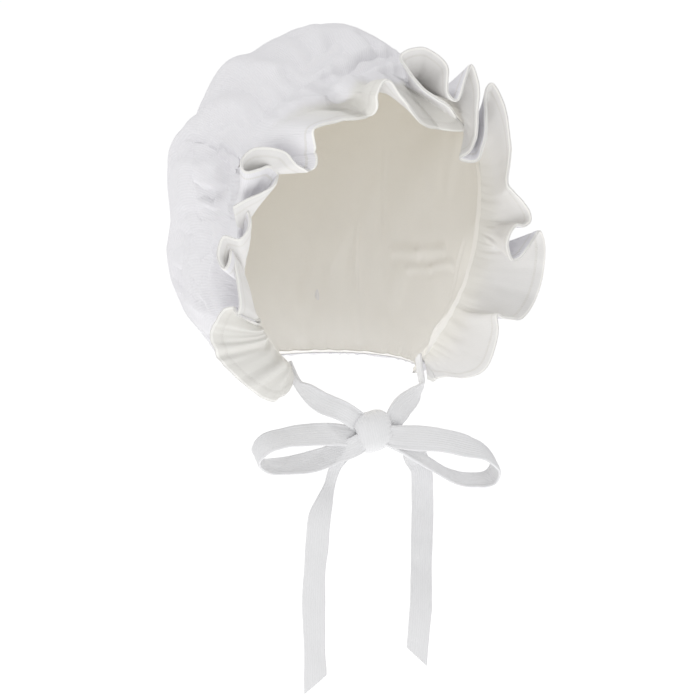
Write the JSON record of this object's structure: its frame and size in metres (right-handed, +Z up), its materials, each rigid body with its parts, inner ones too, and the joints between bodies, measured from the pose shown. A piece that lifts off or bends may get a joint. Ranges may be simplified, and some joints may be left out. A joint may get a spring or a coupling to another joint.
{
  "type": "baby bonnet nightcap, ruffled, with cloth ties",
  "caption": "Soft white cloth bonnet nightcap for a baby, with a ruffled face edge, a cream lining and cloth ties knotted in a bow under the chin.",
  "frame": {"origin": "inside of the lining at its highest place, where the top of the head meets the cap", "axes": "+Z up, the face opening looks along -Y, the wearer's right is at -X"},
  "size_m": [0.1709, 0.1579, 0.3137],
  "materials": {
    "outer_cloth": "matte",
    "lining_cloth": "matte",
    "tie_cloth": "matte"
  },
  "bodies": {
    "root": {"crown": "outer_cloth", "lining": "lining_cloth", "frill": "outer_cloth", "tie_right": "tie_cloth", "tie_left": "tie_cloth"}
  },
  "joints": []
}
